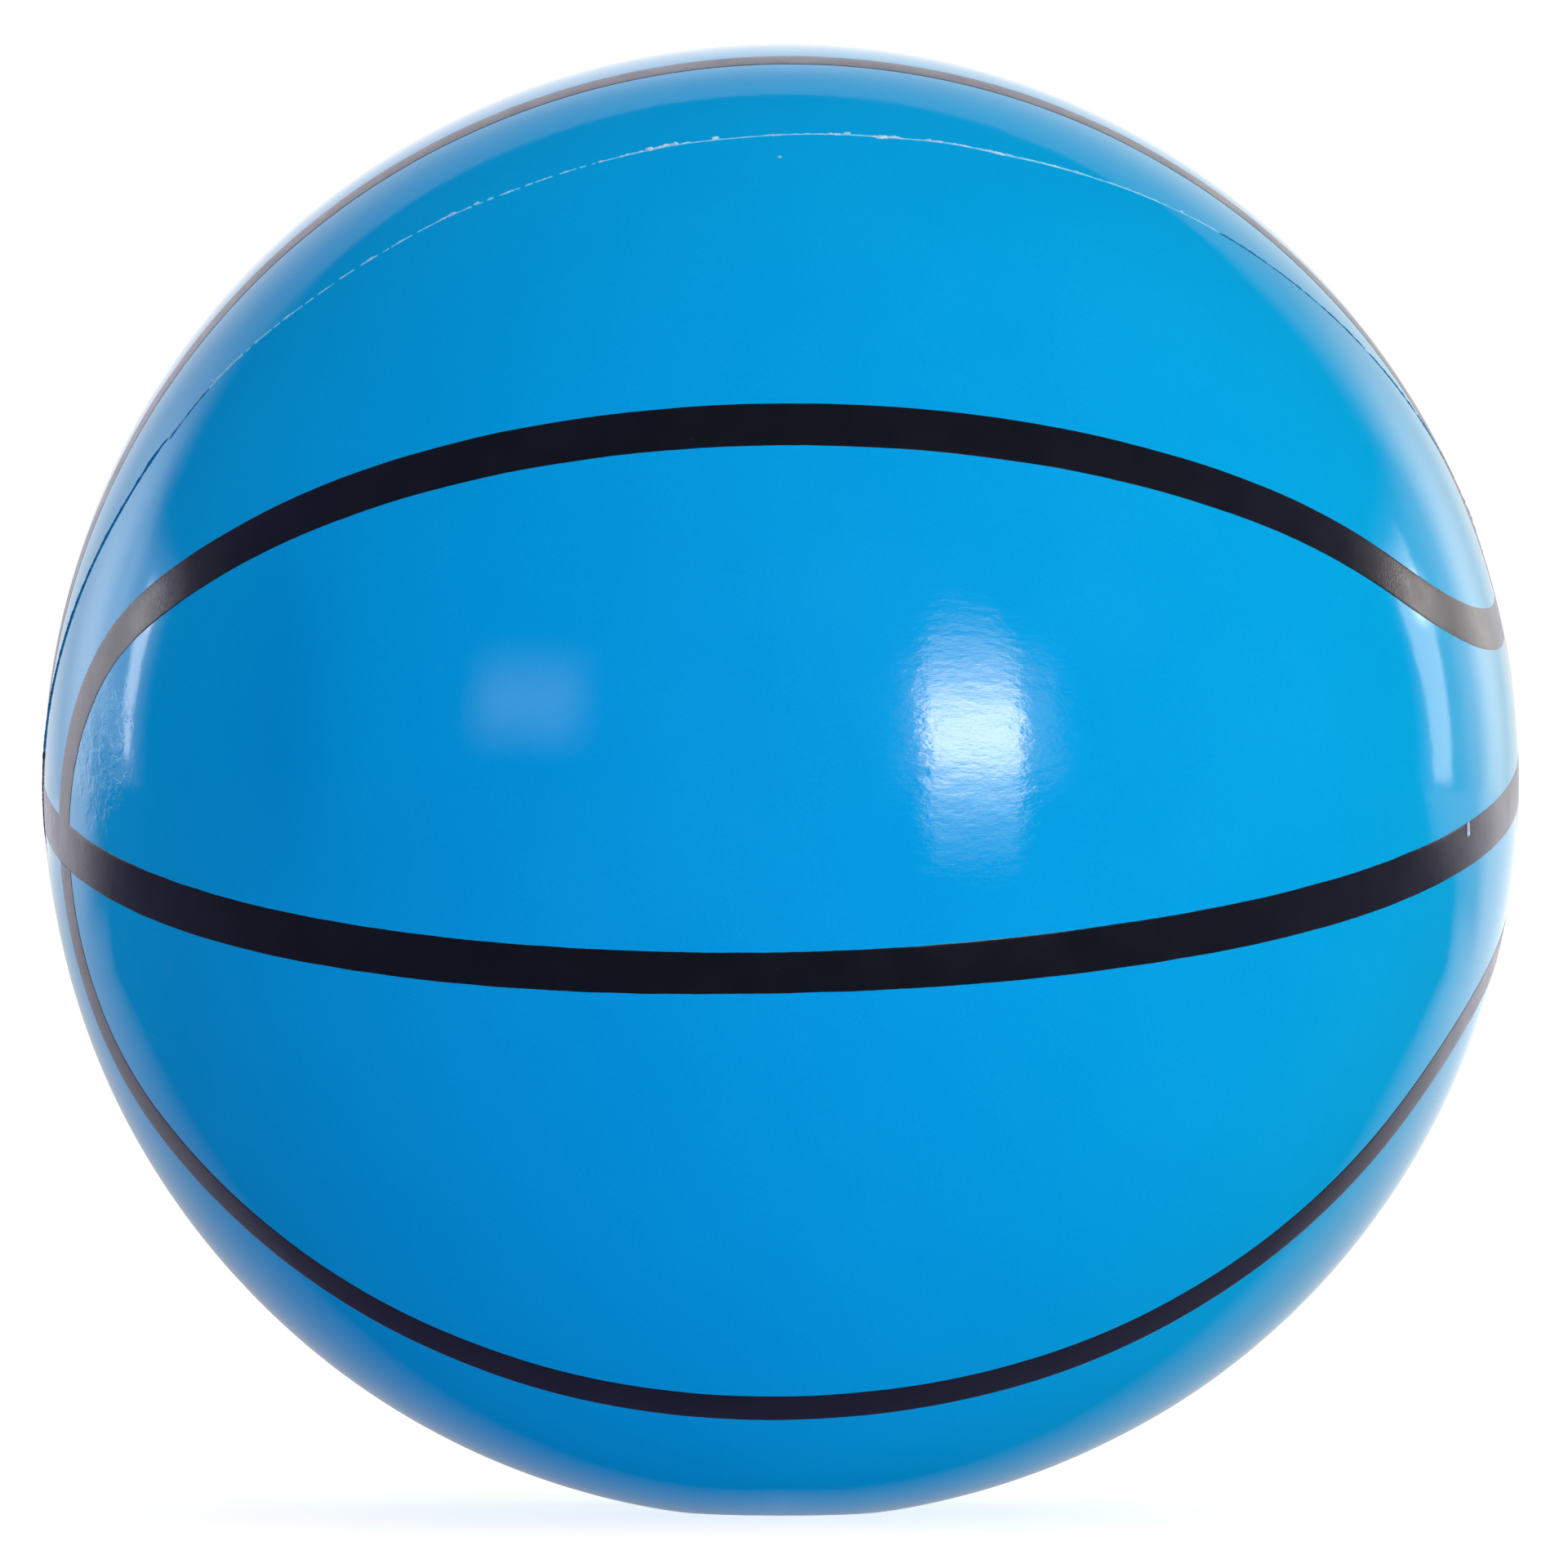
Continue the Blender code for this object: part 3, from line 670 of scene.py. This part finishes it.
def make_bands():
    solids = []
    t = np.linspace(0, math.tau, 1100, endpoint=False)

    # Equator band: a whole ring
    flat = np.stack([np.cos(t), np.sin(t), np.zeros_like(t)], 1)
    lanes = []
    for v in LANES:
        d = v * half_a(flat, 1 if v > 0 else -1)
        lanes.append(unit(flat * np.cos(d)[:, None] + np.array([0, 0, 1.0]) * np.sin(d)[:, None]))
    solids.append((np.array(lanes), True))

    def inside_a(p):
        lat = np.arcsin(np.clip(p[..., 2], -1, 1))
        return np.abs(lat) - np.where(lat > 0, half_a(p, 1), half_a(p, -1))

    def inside_b(p):
        off = np.arcsin(np.clip(p[..., 1], -1, 1))
        return np.abs(off) - np.where(off > 0, half_b(p, 1), half_b(p, -1))

    def pieces_outside(lane, clear):
        """The runs of a closed lane where clear is above 0, with exact ends, in order."""
        value = clear(lane)
        count = len(lane)
        start = [i for i in range(count) if value[i - 1] <= 0 < value[i]]
        runs = []
        for i in start:
            path = []
            a, b = value[i - 1], value[i]
            path.append(lane[i - 1] + (lane[i] - lane[i - 1]) * (-a / (b - a)))
            j = i
            while value[j % count] > 0:
                path.append(lane[j % count])
                j += 1
            a, b = value[(j - 1) % count], value[j % count]
            path.append(lane[(j - 1) % count] + (lane[j % count] - lane[(j - 1) % count]) * (a / (a - b)))
            runs.append(unit(np.array(path)))
        return runs

    def cut_band(lane_list, clear):
        cut = [pieces_outside(lane, clear) for lane in lane_list]
        for k in range(len(cut[0])):
            first = cut[0][k]
            middle = first[len(first) // 2]
            runs = [min(c, key=lambda r: np.linalg.norm(r[len(r) // 2] - middle)) for c in cut]
            steps = max(8, int(np.linalg.norm(np.diff(first, axis=0), axis=1).sum() * RADIUS / 0.0007))
            solids.append((np.array([resample(r, steps) for r in runs]), False))

    # Meridian band: two half rings that end at the equator band's edges
    ring = np.stack([np.cos(t), np.zeros_like(t), np.sin(t)], 1)
    lanes = []
    for v in LANES:
        d = v * half_b(ring, 1 if v > 0 else -1)
        lanes.append(unit(ring * np.cos(d)[:, None] + np.array([0, 1.0, 0]) * np.sin(d)[:, None]))
    cut_band(lanes, inside_a)

    # Wave band: cut where it meets the other two
    middle = wave_middle() @ (PATTERN.T @ WAVE).T
    along = unit(np.roll(middle, -1, 0) - np.roll(middle, 1, 0))
    side = unit(np.cross(middle, along))
    turn_angle = np.linspace(0, math.tau, len(middle), endpoint=False)
    lon = longitude(middle)
    upper = smooth(middle[:, 2], -0.15, 0.15)
    width = np.radians(WIDTH_UP(lon) * upper + WIDTH_LOW(lon) * (1 - upper))
    shift = np.radians(SHIFT_UP(lon) * upper + SHIFT_LOW(lon) * (1 - upper))
    lanes = []
    for v in LANES:
        d = shift + v * (width / 2 + ragged(4 if v > 0 else 5, turn_angle))
        lanes.append(unit(middle * np.cos(d)[:, None] + side * np.sin(d)[:, None]))
    cut_band(lanes, lambda p: np.minimum(inside_a(p), inside_b(p)))

    points, faces, base = [], [], 0
    for lanes, loop in solids:
        top, low = ribbon(lanes)
        count, steps = lanes.shape[:2]
        faces += ribbon_faces(count, steps, base, loop)
        points += [top.reshape(-1, 3), low.reshape(-1, 3)]
        base += 2 * count * steps
    piece = add_piece("ink_bands", np.concatenate(points), faces, [ink], "ball", sharp=40)
    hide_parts("printed_bands")
    return inside_a, inside_b


def make_plug_piece(sides=96):
    """The plug: crowned head with a rounded rim, tapered stem and two rounded grip ribs."""
    head, crown, thick = 0.0067, 0.0005, 0.0014
    stem, taper, length = 0.0021, 0.0004, 0.0150
    top = thick + crown
    big = (head ** 2 + crown ** 2) / (2 * crown)
    edge = thick / 2
    crown_edge = math.sqrt(big ** 2 - (head - edge) ** 2) - big
    profile = [(0.0, top)]
    for x in np.linspace(0, head - edge, 14)[1:]:
        dip = 0.00012 * math.exp(-((x - 0.0040) / 0.00035) ** 2)
        profile.append((x, top + math.sqrt(big ** 2 - x ** 2) - big - dip))
    mid = (top + crown_edge) / 2
    for a in np.linspace(math.pi / 2, -math.pi / 2, 14)[1:-1]:
        profile.append((head - edge + edge * math.cos(a), mid * (1 + math.sin(a))))
    profile.append((head - edge, 0.0))

    def radius(depth):
        return stem - taper * depth / length

    profile += [(radius(0) + 0.0003, 0.0), (radius(0) + 0.0001, -0.0001), (radius(0.0003), -0.0003)]
    for start in (length - 0.006, length - 0.003):
        for i in range(13):
            depth = start + 0.0012 * i / 12
            profile.append((radius(depth) + 0.0003 * math.sin(math.pi * i / 12), -depth))
    tip = radius(length)
    for a in np.linspace(0, -math.pi / 2, 9)[:-1]:
        profile.append((tip * math.cos(a), -length + tip + tip * math.sin(a)))
    profile.append((0.0, -length))

    seat = FLOOR_HEIGHT + 0.0003
    angle = np.linspace(0, math.tau, sides, endpoint=False)
    points, rings = [], []
    for r, z in profile:
        ring = [(0.0, 0.0, z)] if r < 1e-7 else [(r * math.cos(a), r * math.sin(a), z) for a in angle]
        rings.append((len(points), len(ring)))
        points += ring
    placed = (np.array(points) + np.array([0, 0, seat])) @ MOULD.T + CENTRE
    piece = add_piece("plug_body", placed, turned_faces(rings, sides), [plug_vinyl], "plug", sharp=40)
    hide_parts("valve_plug")


def on_seam(angle, aside, rise):
    """Points beside the parting line: angle round the mould, distance aside, height over the skin."""
    tall = math.asin(PARTING / RADIUS) + (stray(angle) + aside) / RADIUS
    u = np.stack([np.cos(tall) * np.cos(angle), np.cos(tall) * np.sin(angle), np.sin(tall)], -1) @ MOULD.T
    return on_skin(u, rise)


def in_ink(points):
    """Whether places on the skin are under one of the printed bands."""
    p = unit(points - CENTRE) @ PATTERN
    hit = (inside_a(p) < 0) | (inside_b(p) < 0)
    middle = wave_middle() @ (PATTERN.T @ WAVE).T
    for start in range(0, len(p), 400):
        nearest = (p[start:start + 400] @ middle.T).max(1)
        hit[start:start + 400] |= np.arccos(np.clip(nearest, -1, 1)) < math.radians(1.7)
    return hit


def make_flash(count=3600):
    """The fine ridge that the mould's joint leaves, with a side step where two inserts meet."""
    angle = np.linspace(-math.pi, math.pi, count, endpoint=False)
    degrees = np.degrees(angle)
    slow, quick, tiny = Line(31, 40), Line(32, 260), Line(33, 1100)
    height = 0.00007 + 0.00002 * slow(angle) + 0.000025 * quick(angle) + 0.00002 * tiny(angle)
    width = 0.00034 + 0.00004 * slow(angle) + 0.00006 * quick(angle)
    heavy = smooth(degrees, -64, -70) * smooth(degrees, -82, -76)
    heavy += 0.7 * smooth(degrees, -133, -137) * smooth(degrees, -144, -141)
    height += 0.00004 * heavy
    # It stands highest round the left, where two inserts meet
    height += 0.00013 * (smooth(degrees, -146, -152) + smooth(degrees, 140, 155))
    height += 0.00003 * smooth(degrees, -60, -48)
    width += 0.00012 * heavy
    aside = 0.00003 * slow(angle) + 0.00002 * quick(angle)
    step_at = degrees + 149.2
    aside += np.where(step_at < 0, 0.0003, -0.0003) * np.exp(-np.abs(step_at) / 4.0)
    # Between two scrapes on the left the ridge is broken into short dashes
    dashed = smooth(degrees, -145, -141) * smooth(degrees, -104, -110)
    dash = 1 - dashed * smooth(-Line(34, 280)(angle), 0.25, 0.45)
    height = np.maximum(height, 0.00001) * smooth(np.abs(step_at), 0.05, 0.35) * dash
    width *= (0.45 + 0.55 * dash) * (1 + 0.35 * (smooth(degrees, -142, -148) + smooth(degrees, -58, -50)))
    # Places across the ridge in widths, and its height there in heights, or its depth in metres
    section = [(-0.62, -0.00006), (-0.5, 0.0), (-0.22, 0.62), (0.06, 1.0), (0.30, 0.72), (0.5, 0.0),
               (0.62, -0.00006)]
    rows = []
    for across, up in section:
        rise = height * up - 0.00003 * (1 - dash) if up >= 0 else np.full(count, up)
        rows.append(on_seam(angle, aside + across * width, rise))
    points = np.array(rows)
    faces = []
    size = len(section)
    for i in range(size):
        a, b = i * count, ((i + 1) % size) * count
        for j in range(count):
            n = (j + 1) % count
            faces.append((a + j, a + n, b + n, b + j))
    dark = in_ink(points[3])
    # Low on both sides the ridge takes a darker copy of its vinyl, painted shade that shows as a dark line
    index = np.tile(np.where(dark, 1, np.where((degrees < -143.9) | (degrees > -57.5), 2, 0)), size)
    add_piece("parting_flash", points, faces, [flash, ink, shaded], "ball",
              sharp=60, face_material=index)


# Torn bits of flash: start and end angle round the mould, offset aside, width, height, all lengths in mm
SCRAPS = [
    (-143.3, -142.0, 0.05, 0.35, 0.22), (-142.1, -141.0, 0.10, 0.28, 0.16),
    (-141.2, -140.0, 0.12, 0.34, 0.20), (-138.7, -138.2, 0.06, 0.28, 0.16),
    (-135.8, -134.2, 0.0, 0.26, 0.10), (-127.6, -126.6, 0.10, 0.50, 0.22),
    (-122.6, -121.7, 0.0, 0.28, 0.12), (-121.0, -120.2, 0.10, 0.42, 0.20),
    (-120.4, -119.6, 0.10, 0.62, 0.26), (-118.1, -117.6, 0.22, 0.40, 0.24),
    (-115.7, -115.0, 0.12, 0.55, 0.24), (-115.1, -114.7, 0.12, 0.34, 0.16),
    (-113.7, -113.2, 0.02, 0.40, 0.16), (-112.5, -112.0, 0.03, 0.34, 0.14),
    (-110.8, -110.2, 0.04, 0.46, 0.20), (-108.0, -107.4, 0.02, 0.40, 0.16),
    (-106.4, -106.0, 0.05, 0.42, 0.20), (-105.9, -105.4, 0.16, 0.46, 0.22),
    (-104.9, -104.4, 0.12, 0.44, 0.20), (-104.3, -103.6, 0.20, 0.90, 0.34),
    (-103.6, -102.9, 0.16, 0.55, 0.26), (-103.0, -102.4, 0.25, 0.85, 0.36),
    (-102.6, -101.7, 0.10, 0.75, 0.34), (-101.6, -100.7, 0.05, 0.34, 0.16),
    (-99.15, -98.6, 0.45, 0.95, 0.50), (-95.1, -93.7, 0.06, 0.50, 0.22),
    (-90.95, -90.6, 0.05, 0.42, 0.18), (-90.3, -88.9, 0.08, 0.50, 0.24), (-89.1, -88.5, 0.40, 0.60, 0.40),
    (-86.9, -84.5, 0.0, 0.72, 0.30), (-86.6, -86.0, -0.35, 0.45, 0.22), (-82.7, -82.2, 0.20, 0.70, 0.32),
    (-82.3, -81.2, 0.06, 0.50, 0.24), (-80.6, -80.1, 0.12, 0.50, 0.24), (-80.2, -79.0, 0.04, 0.42, 0.20),
    (-78.5, -75.6, 0.0, 0.62, 0.26), (-75.3, -73.6, 0.05, 0.48, 0.20), (-73.7, -71.8, 0.02, 0.44, 0.18),
    (-70.7, -70.2, 0.15, 0.50, 0.26), (-66.8, -64.6, 0.0, 0.30, 0.12), (-64.7, -62.9, 0.0, 0.28, 0.12),
    (-61.4, -60.9, 0.22, 0.42, 0.24)
]


def make_scraps():
    """Small torn slivers of flash that cling to the parting line, ragged and slightly lifted."""
    rng = np.random.default_rng(41)
    wanted = list(SCRAPS)
    # The same kind of debris, thinner on the ground, round the rest of the line
    for start in np.cumsum(rng.uniform(4.0, 15.0, 40)) - 56:
        if start < 176:
            wanted.append((start, start + rng.uniform(0.4, 1.8), rng.uniform(-0.1, 0.2),
                           rng.uniform(0.28, 0.6), rng.uniform(0.12, 0.28)))
    points, faces, base = [], [], 0
    section = [(-0.5, 0.10), (-0.30, 0.75), (0.02, 1.0), (0.28, 0.70), (0.5, 0.15), (0.30, -0.30),
               (-0.30, -0.30)]
    for start, end, aside, wide, tall in wanted:
        length = math.radians(end - start) * RADIUS
        steps = max(8, int(length / 0.00011))
        t = np.linspace(0, 1, steps)
        angle = np.radians(start + (end - start) * t)
        shape = np.sin(math.pi * np.clip(t * 0.94 + 0.03, 0, 1)) ** 0.45
        rough = np.convolve(rng.normal(size=steps + 4), np.ones(5) / 2.6, "valid")
        bend = np.convolve(rng.normal(size=steps + 8), np.ones(9) / 4.5, "valid")
        w = 0.001 * wide * shape * np.clip(0.85 + 0.28 * rough, 0.3, 1.5)
        h = 0.001 * tall * shape * np.clip(0.8 + 0.30 * bend, 0.35, 1.5)
        s = 0.001 * aside + 0.12 * 0.001 * wide * bend
        rows = []
        for across, up in section:
            jag = 1 + 0.16 * rng.normal(size=steps)
            rows.append(on_seam(angle, s + across * w * jag, h * up * jag - 0.00002))
        grid = np.array(rows)
        size = len(section)
        points.append(grid.reshape(-1, 3))
        faces += tube_faces(size, steps, base)
        base += size * steps
    # One thin curl of flash stands off the line on the left
    t = np.linspace(0, 1, 22)
    angle = np.radians(-143.25 - 0.50 * t - 0.25 * t ** 3)
    s = 0.0001 + 0.0016 * np.sin(t * 1.9) ** 1.5 * 0.75
    h = 0.00012 + 0.00035 * np.sin(t * math.pi)
    fat = 0.00009 * (1 - 0.6 * t)
    rows = [on_seam(angle + fat * math.cos(a) / RADIUS, s, h + fat * math.sin(a)) for a in
            np.linspace(0, math.tau, 8, endpoint=False)]
    points.append(np.array(rows).reshape(-1, 3))
    faces += tube_faces(len(rows), len(t), base)
    base += len(rows) * len(t)
    # A fleck of vinyl caught in the equator band's upper edge on the right
    at = unit(np.array(at_pixel(FLECK)) - CENTRE)
    down = unit(np.cross(np.cross(at, [0, 0, -1.0]), at))
    aside = np.cross(at, down)
    t = np.linspace(-1, 1, 19)
    mid = at + (t[:, None] * 0.0011 * down + 0.00012 * np.sin(t * 2.2)[:, None] * aside) / RADIUS
    fat = 0.00032 * np.sqrt(np.maximum(1 - t ** 4, 0.02)) * (1 + 0.35 * smooth(t, 0.3, 0.9))
    rows = []
    for a in np.linspace(0, math.tau, 10, endpoint=False):
        u = unit(mid + (fat * math.cos(a))[:, None] * aside / RADIUS)
        rows.append(u * (skin_radius(u) + 0.00010 + 0.85 * fat * math.sin(a))[:, None] + CENTRE)
    points.append(np.array(rows).reshape(-1, 3))
    faces += tube_faces(len(rows), len(t), base)
    add_piece("flash_scraps", np.concatenate(points), faces, [scrap], "ball", sharp=70)


make_skin()
inside_a, inside_b = make_bands()
make_plug_piece()
make_flash()
make_scraps()


# Floor, light and camera
def lamp(n, across, height):
    """The lamp beside the camera as the skin mirrors it: a bright soft square in a dim surround."""
    wings = n.times(n.band(across, 136.5, 161.5, 3.0), n.step(height, -1.0, 4.0),
                    n.step(height, 21.0, 13.0), 1.2)
    dim = n.plus(n.times(n.step(height, -11.9, -11.3), 1.0), n.times(n.step(height, -8.0, -1.0), 3.4))
    core = n.times(n.step(height, -1.5, 6.5), n.step(height, 17.5, 7.5), 11.0)
    narrow = n.step(height, 17.0, 26.0, 0.0, 3.6)
    sides = n.band(across, n.plus(142.4, narrow), n.plus(158.3, n.times(narrow, -1.0)), 0.7)
    square = n.times(sides, n.plus(n.times(dim, n.step(height, 27.0, 15.0)), core))
    return n.math("MAXIMUM", wings, square)


def make_floor():
    material = bpy.data.materials.new("studio_floor")
    material.use_nodes = True
    material.cycles.emission_sampling = "NONE"
    n = Nodes(material.node_tree)
    out = n.add("ShaderNodeOutputMaterial")
    path = n.add("ShaderNodeLightPath")
    camera_ray, mirror_ray = path.outputs["Is Camera Ray"], path.outputs["Is Glossy Ray"]
    soft_ray = path.outputs["Is Diffuse Ray"]
    place = n.add("ShaderNodeTexCoord").outputs["Object"]
    x, y, _ = split_xyz(n, place)
    # What the gloss mirrors: dark near the ball, pale beyond a curved edge behind it
    wide = n.math("ABSOLUTE", x)
    slope = n.step(wide, 0.7, 1.2, 0.78, 0.56)
    edge = n.math("MINIMUM", n.plus(n.times(wide, 0.126), n.times(wide, wide, 1.70)), n.times(wide, slope))
    beyond = n.math("MAXIMUM", n.plus(y, 0.0286, n.times(edge, -1.0)), 0.0)
    reach = n.math("MINIMUM", n.plus(0.0074, n.times(wide, 0.316)), 0.052)
    pale = n.math("DIVIDE", beyond, n.plus(beyond, reach))
    side = n.math("MAXIMUM", n.math("MINIMUM", n.plus(0.52, n.times(x, 2.37)), 1.28),
                  n.math("MINIMUM", n.plus(0.48, n.times(x, -0.50)), 1.05))
    # Far out it dims again to both sides
    ratio = n.math("DIVIDE", wide, n.math("MAXIMUM", y, 0.05))
    far = n.math("SQRT", n.plus(n.times(x, x), n.times(y, y)))
    right = n.step(x, -0.01, 0.01)
    dim = n.plus(n.times(right, n.step(ratio, 0.98, 0.72, 0.5, 1.0)),
                 n.times(n.math("SUBTRACT", 1.0, right), n.step(ratio, 1.30, 0.80)), -1.0)
    side = n.times(side, n.plus(1.0, n.times(dim, n.step(far, 0.5, 0.9))))
    # The soft light that the floor sends up to the ball, by its direction from the ball's centre
    away = n.add("ShaderNodeVectorMath", {"operation": "SUBTRACT"})
    n.feed(away.inputs[0], place)
    away.inputs[1].default_value = tuple(CENTRE)
    way = n.add("ShaderNodeVectorMath", {"operation": "NORMALIZE"})
    n.feed(way.inputs[0], away.outputs[0])
    to_x, to_y, _ = split_xyz(n, way.outputs[0])
    lit = n.plus(0.870, n.times(to_x, 0.275), n.times(to_y, 0.475), n.times(to_x, to_x, -0.066),
                 n.times(to_y, to_y, 0.367))
    righter = n.math("MAXIMUM", to_x, 0.0)
    lit = n.times(n.plus(lit, n.times(righter, 0.05)), n.step(far, 0.02, 0.26, 0.86, 1.0))
    lit_blue = n.plus(lit, 0.02, n.times(righter, 0.09), n.times(to_x, -0.203), n.times(to_y, -0.140),
                      n.times(to_x, to_y, -0.045), n.times(to_x, to_x, -0.225))
    # The lamp's lower part is mirrored from this side of the floor
    from_x, from_y = n.plus(x, -0.03), n.plus(y, 0.106)
    across = n.times(n.math("ARCTAN2", from_x, from_y), DEGREES)
    off = n.math("SQRT", n.plus(n.times(from_x, from_x), n.times(from_y, from_y)))
    sink = n.times(n.math("ARCTAN2", 0.10, off), -DEGREES)
    beside = n.times(mirror_ray, lamp(n, across, sink))
    seen = n.plus(n.times(camera_ray, 0.78), n.times(mirror_ray, pale, side))
    diffuse = n.add("ShaderNodeBsdfDiffuse")
    n.feed(diffuse.inputs["Color"], n.mix(camera_ray, (0.02, 0.02, 0.02), (0.44, 0.42, 0.39)))
    warm = n.plus(seen, beside, n.times(soft_ray, lit))
    cool = n.plus(seen, n.times(beside, 0.8), n.times(soft_ray, lit_blue))
    glow = n.add("ShaderNodeEmission", Strength=1.0)
    n.feed(glow.inputs["Color"], n.add("ShaderNodeCombineColor", Red=warm, Green=warm, Blue=cool).outputs[0])
    both = n.add("ShaderNodeAddShader")
    n.tree.links.new(diffuse.outputs[0], both.inputs[0])
    n.tree.links.new(glow.outputs[0], both.inputs[1])
    n.tree.links.new(both.outputs[0], out.inputs["Surface"])
    mesh = bpy.data.meshes.new("floor")
    size = 12.0
    corners = [(-size, -size, 0), (size, -size, 0), (size, size, 0), (-size, size, 0)]
    mesh.from_pydata(corners, [], [(0, 1, 2, 3)])
    mesh.materials.append(material)
    floor = bpy.data.objects.new("floor", mesh)
    bpy.context.scene.collection.objects.link(floor)


def make_world():
    """A pale studio: soft light that fades from right to left, and what the gloss mirrors."""
    world = bpy.data.worlds.new("studio")
    bpy.context.scene.world = world
    world.use_nodes = True
    n = Nodes(world.node_tree)
    out = n.add("ShaderNodeOutputWorld")
    way = n.add("ShaderNodeTexCoord").outputs["Generated"]
    x, y, z = split_xyz(n, way)
    path = n.add("ShaderNodeLightPath")

    # Light that comes from all round, brighter from the right and near the horizon
    warm = n.math("MAXIMUM", n.plus(
        1.113, n.times(x, 0.516), n.times(y, 0.069), n.times(z, -0.267), n.times(x, x, -0.292),
        n.times(y, y, 0.336), n.times(x, y, -0.613), n.times(x, z, 0.026), n.times(y, z, 0.046)), 0.05)
    cool = n.plus(warm, n.times(x, -0.203), n.times(y, -0.140), n.times(z, -0.064), n.times(x, y, -0.045),
                  n.times(x, x, -0.225))

    # Directions in degrees: from straight behind the ball, to the right of that, and above the horizon
    behind = n.times(n.math("ARCCOSINE", y), DEGREES)
    across = n.times(n.math("ARCTAN2", x, y), DEGREES)
    height = n.times(n.math("ARCSINE", z), DEGREES)

    def glow(place, wide, tall):
        """A soft oval glow at (across, height)."""
        dx = n.times(n.math("SUBTRACT", across, place[0]), 1 / wide)
        dz = n.times(n.math("SUBTRACT", height, place[1]), 1 / tall)
        return n.step(n.math("SQRT", n.plus(n.times(dx, dx), n.times(dz, dz))), 1.0, 0.0)

    wide = n.step(n.math("ABSOLUTE", x), 0.35, 0.70)
    cone = n.step(behind, n.plus(45.3, n.times(wide, 5.0)), n.plus(44.5, n.times(wide, -3.8)))
    taper = n.step(height, 1.0, 14.0)
    mirror = n.plus(
        0.01,
        # The pale backdrop, brightest straight behind the ball
        n.times(cone, n.plus(0.28, n.times(n.step(behind, 45.0, 16.0), 0.67))),
        n.times(n.step(behind, 38.0, 28.0), n.band(x, -0.20, 0.10, 0.10), n.step(height, 0.0, 8.0), 0.17),
        n.times(n.step(behind, 46.0, 25.0), n.step(x, 0.0, 0.35), 0.15),
        # The rims to the right and the left
        n.times(glow((33.5, 6.5), 13.5, 20.0), 1.25),
        n.times(glow((-38.0, 6.5), 14.0, 21.0), 1.20),
        # The right softbox: its surround, its window and a soft patch above it
        n.times(n.band(across, 42.0, 60.5, 2.5), n.step(height, -6.0, 3.0), n.step(height, 21.5, 15.0), 0.45),
        n.times(n.band(across, n.plus(51.2, n.times(taper, -0.6)), n.plus(57.6, n.times(taper, 2.0)), 0.5),
                n.step(height, -0.4, 0.8), n.step(height, 18.8, 14.5),
                n.plus(1.95, n.times(glow((52.8, 13.0), 4.5, 2.3), 11.0))),
        n.times(glow((49.5, 12.0), 2.4, 3.0), 1.6),
        # The left softbox: its surround and its window
        n.times(n.band(across, -60.0, n.step(height, 1.0, 6.0, -50.0, -43.5), 3.0), n.step(height, -4.0, 3.0),
                n.step(height, 18.5, 13.0), 0.75),
        n.times(n.band(across, n.plus(-57.5, n.times(taper, -0.3)), n.plus(-55.4, n.times(taper, 3.0)), 0.4),
                n.step(height, 0.9, 2.4), n.step(height, 15.2, 12.4),
                n.plus(2.7, n.times(glow((-55.4, 12.6), 4.0, 1.9), 6.5))),
        # A faint glow from beside the camera, on the left
        n.times(n.band(across, -148.5, -131.5, 4.5), n.band(height, 7.0, 17.0, 5.0), 1.1),
    )
    beside = lamp(n, across, height)
    mirror_ray, camera_ray = path.outputs["Is Glossy Ray"], path.outputs["Is Camera Ray"]
    other = n.math("SUBTRACT", 1.0, n.math("ADD", camera_ray, mirror_ray, clamp=True))
    rest = n.plus(camera_ray, n.times(other, warm))
    red = n.plus(rest, n.times(mirror_ray, n.plus(mirror, n.times(beside, 1.15))))
    green = n.plus(rest, n.times(mirror_ray, n.plus(n.times(mirror, n.step(x, 0.2, 0.7, 1.0, 0.95)), beside)))
    blue = n.plus(camera_ray, n.times(other, cool), n.times(mirror_ray, n.plus(
        n.times(mirror, n.step(x, -0.1, 0.6, 1.0, 0.84)), n.times(beside, 0.8))))
    light = n.add("ShaderNodeCombineColor", Red=red, Green=green, Blue=blue).outputs[0]
    back = n.add("ShaderNodeBackground", Color=light, Strength=1.0)
    n.tree.links.new(back.outputs[0], out.inputs["Surface"])
    world.cycles.sampling_method = "NONE"


def make_camera():
    data = bpy.data.cameras.new("camera")
    data.sensor_width = SENSOR
    off = BALL_PIXELS * OUTLINE_AWAY
    data.lens = SENSOR * off / PICTURE
    data.clip_end = 100
    camera = bpy.data.objects.new("camera", data)
    camera.location = (0.0, -CAMERA_AWAY * RADIUS, CENTRE[2])
    camera.rotation_euler = (math.pi / 2 - (PICTURE / 2 - BALL_Y) / off, 0.0, -(PICTURE / 2 - BALL_X) / off)
    bpy.context.scene.collection.objects.link(camera)
    bpy.context.scene.camera = camera


make_floor()
make_world()
make_camera()
bpy.context.scene.view_settings.view_transform = "Standard"
